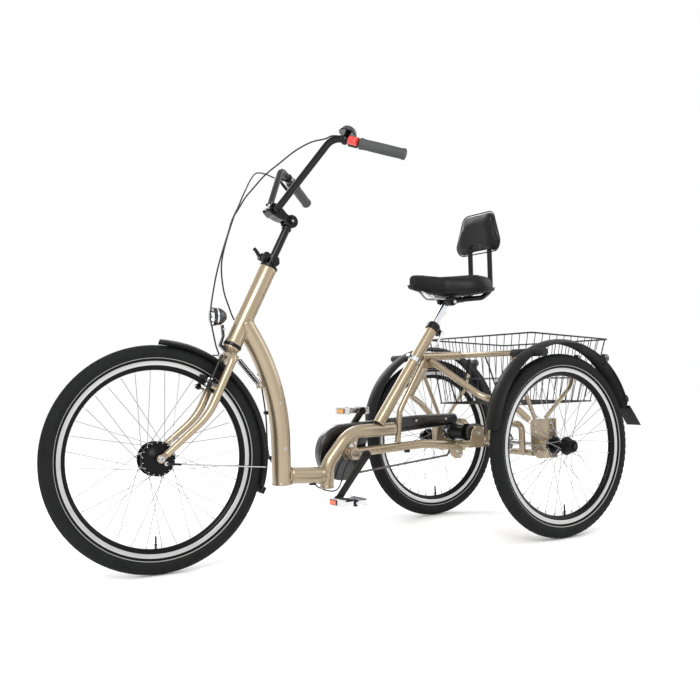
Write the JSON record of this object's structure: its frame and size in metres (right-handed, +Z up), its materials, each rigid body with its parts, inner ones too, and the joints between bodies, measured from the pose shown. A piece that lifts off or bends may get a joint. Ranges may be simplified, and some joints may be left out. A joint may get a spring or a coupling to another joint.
{
  "type": "adult tricycle",
  "caption": "Step-through adult tricycle with a steered front wheel, mudguards, padded saddle with backrest, high handlebar and a rear wire basket.",
  "frame": {"origin": "centre of the bounding box, on the ground under the tyres", "axes": "+Z up, +Y rearward along the vehicle, +X to the rider's left"},
  "size_m": [0.828, 1.9374, 1.2969],
  "materials": {
    "frame_paint": "satin metallic champagne paint",
    "black_metal": "satin black",
    "tyre": "matte",
    "rim_metal": "satin, black anodised between the brake tracks",
    "hub_metal": "black anodised",
    "chrome": "polished",
    "steel": "oiled",
    "black_plastic": "satin",
    "gloss_black": "gloss",
    "rubber": "matte",
    "red_plastic": "gloss",
    "lens": "clear",
    "lamp_red": "gloss",
    "saddle_vinyl": "soft grained vinyl",
    "basket_wire": "vinyl-coated steel wire",
    "pedal_alloy": "satin"
  },
  "bodies": {
    "frame": {"head_tube": "frame_paint", "headset": "black_metal", "down_tube": "frame_paint", "rear_riser": "frame_paint", "seat_tube": "frame_paint", "seat_braces": "frame_paint", "chain_stay": "frame_paint", "bb_shell": "frame_paint", "rack_bar": "frame_paint", "rear_stays": "frame_paint", "axle_plates": "frame_paint", "axle_cradle": "frame_paint", "rear_fenders": "black_plastic", "fender_rubbers": "rubber", "rear_lights": "lamp_red", "basket": "basket_wire", "chain_case": "gloss_black", "chains": "steel", "seat_collar": "black_metal", "gear_cable": "rubber"},
    "steering": {"fork": "frame_paint", "front_fender": "black_plastic", "headlight": "gloss_black", "headlight_lens": "lens", "stem_collar": "black_metal", "brake_cable": "rubber"},
    "brake_arm_left": {"brake_arm_left": "black_metal"},
    "brake_arm_right": {"brake_arm_right": "black_metal"},
    "stem": {"stem_post": "black_metal"},
    "handlebar": {"stem_head": "black_metal", "handlebar": "black_metal", "grips": "rubber", "lever_perches": "black_metal", "control_cables": "rubber"},
    "brake_lever": {"brake_lever": "black_plastic"},
    "shifter": {"shifter_ring": "black_plastic"},
    "bell": {"bell": "gloss_black"},
    "parking_lever": {"parking_lever": "red_plastic"},
    "stem_lever": {"stem_lever": "black_metal"},
    "seat_lever": {"seat_lever": "chrome"},
    "front_wheel": {"front_tyre": "tyre", "front_rim": "rim_metal", "front_hub": "hub_metal"},
    "rear_wheel_left": {"rear_tyre_left": "tyre", "rear_rim_left": "rim_metal", "rear_hub_left": "hub_metal"},
    "rear_wheel_right": {"rear_tyre_right": "tyre", "rear_rim_right": "rim_metal", "rear_hub_right": "hub_metal"},
    "seat": {"seatpost": "chrome", "saddle_base": "black_plastic", "saddle_cover": "saddle_vinyl", "saddle_rails": "chrome", "backrest_pad": "saddle_vinyl", "backrest_posts": "black_metal"},
    "crank": {"crankset": "black_metal"},
    "input_gear": {"input_sprocket": "steel"},
    "gear_hub": {"gear_hub": "hub_metal"},
    "pedal_left": {"pedal_left": "pedal_alloy"},
    "pedal_right": {"pedal_right": "pedal_alloy"}
  },
  "joints": [
    {"name": "steering_turn", "type": "hinge", "parent": "frame", "child": "steering", "pos_m": [0, -0.32726, 0.77874], "axis": [0, 0.4726, 0.8813], "range_deg": [-35, 45]},
    {"name": "front_wheel_spin", "type": "hinge", "parent": "steering", "child": "front_wheel", "pos_m": [-0.00566, -0.64328, 0.32638], "axis": [0.9962, -0.0768, 0.0412], "continuous": true},
    {"name": "rear_wheel_left_spin", "type": "hinge", "parent": "frame", "child": "rear_wheel_left", "pos_m": [0.3425, 0.6105, 0.3005], "axis": [1, 0, 0], "continuous": true},
    {"name": "rear_wheel_right_spin", "type": "hinge", "parent": "frame", "child": "rear_wheel_right", "pos_m": [-0.3425, 0.6105, 0.3005], "axis": [1, 0, 0], "continuous": true},
    {"name": "stem_height", "type": "slide", "parent": "steering", "child": "stem", "axis": [0, 0.4726, 0.8813], "range_m": [-0.05, 0.05]},
    {"name": "stem_angle", "type": "hinge", "parent": "stem", "child": "handlebar", "pos_m": [0, -0.19116, 1.03255], "axis": [0.9962, -0.0768, 0.0412], "range_deg": [-15, 20]},
    {"name": "brake_lever_pull", "type": "hinge", "parent": "handlebar", "child": "brake_lever", "pos_m": [-0.25798, -0.07734, 1.23502], "axis": [-0.0196, -0.4464, -0.8946], "range_deg": [0, 10], "stiffness_Nm_per_rad": 0.8},
    {"name": "brake_arm_left_close", "type": "hinge", "parent": "steering", "child": "brake_arm_left", "pos_m": [0.04538, -0.49635, 0.53127], "axis": [-0.0872, -0.8779, 0.4708], "range_deg": [0, 1.6], "stiffness_Nm_per_rad": 0.5},
    {"name": "brake_arm_right_close", "type": "hinge", "parent": "steering", "child": "brake_arm_right", "pos_m": [-0.05026, -0.48897, 0.52731], "axis": [0.0872, 0.8779, -0.4708], "range_deg": [0, 1.6], "stiffness_Nm_per_rad": 0.5},
    {"name": "shifter_twist", "type": "hinge", "parent": "handlebar", "child": "shifter", "pos_m": [-0.25579, -0.02872, 1.21071], "axis": [0.5551, -0.7491, 0.3617], "range_deg": [0, 120]},
    {"name": "bell_twist", "type": "hinge", "parent": "handlebar", "child": "bell", "pos_m": [0.21455, -0.10181, 1.27553], "axis": [-0.0244, 0.4498, 0.8928], "range_deg": [0, 35], "stiffness_Nm_per_rad": 0.1},
    {"name": "parking_lever_turn", "type": "hinge", "parent": "handlebar", "child": "parking_lever", "pos_m": [0.23589, -0.09347, 1.24391], "axis": [-0.6909, -0.653, 0.3102], "range_deg": [0, 45]},
    {"name": "stem_lever_swing", "type": "hinge", "parent": "steering", "child": "stem_lever", "pos_m": [-0.02453, -0.28291, 0.92063], "axis": [-0.9962, 0.0768, -0.0412], "range_deg": [0, 95]},
    {"name": "seat_lever_swing", "type": "hinge", "parent": "frame", "child": "seat_lever", "pos_m": [0.019, 0.3891, 0.6848], "axis": [1, 0, 0], "range_deg": [0, 90]},
    {"name": "seat_height", "type": "slide", "parent": "frame", "child": "seat", "axis": [0, 0.6, 0.8], "range_m": [-0.06, 0.09]},
    {"name": "crank_turn", "type": "hinge", "parent": "frame", "child": "crank", "pos_m": [0, 0.0125, 0.297], "axis": [1, 0, 0], "continuous": true},
    {"name": "input_gear_spin", "type": "hinge", "parent": "frame", "child": "input_gear", "pos_m": [-0.058, 0.4675, 0.341], "axis": [1, 0, 0], "continuous": true},
    {"name": "gear_hub_spin", "type": "hinge", "parent": "frame", "child": "gear_hub", "pos_m": [0.01, 0.4675, 0.341], "axis": [1, 0, 0], "continuous": true},
    {"name": "pedal_left_spin", "type": "hinge", "parent": "crank", "child": "pedal_left", "pos_m": [0.148, -0.09677, 0.16677], "axis": [1, 0, 0], "continuous": true},
    {"name": "pedal_right_spin", "type": "hinge", "parent": "crank", "child": "pedal_right", "pos_m": [-0.148, 0.12177, 0.42723], "axis": [1, 0, 0], "continuous": true}
  ],
  "couplings": [
    {"joint": "brake_arm_left_close", "follows": "brake_lever_pull", "ratio": 0.16},
    {"joint": "brake_arm_right_close", "follows": "brake_lever_pull", "ratio": 0.16},
    {"joint": "input_gear_spin", "follows": "crank_turn", "ratio": 2.7143},
    {"joint": "gear_hub_spin", "follows": "rear_wheel_left_spin", "ratio": 1.1429}
  ]
}
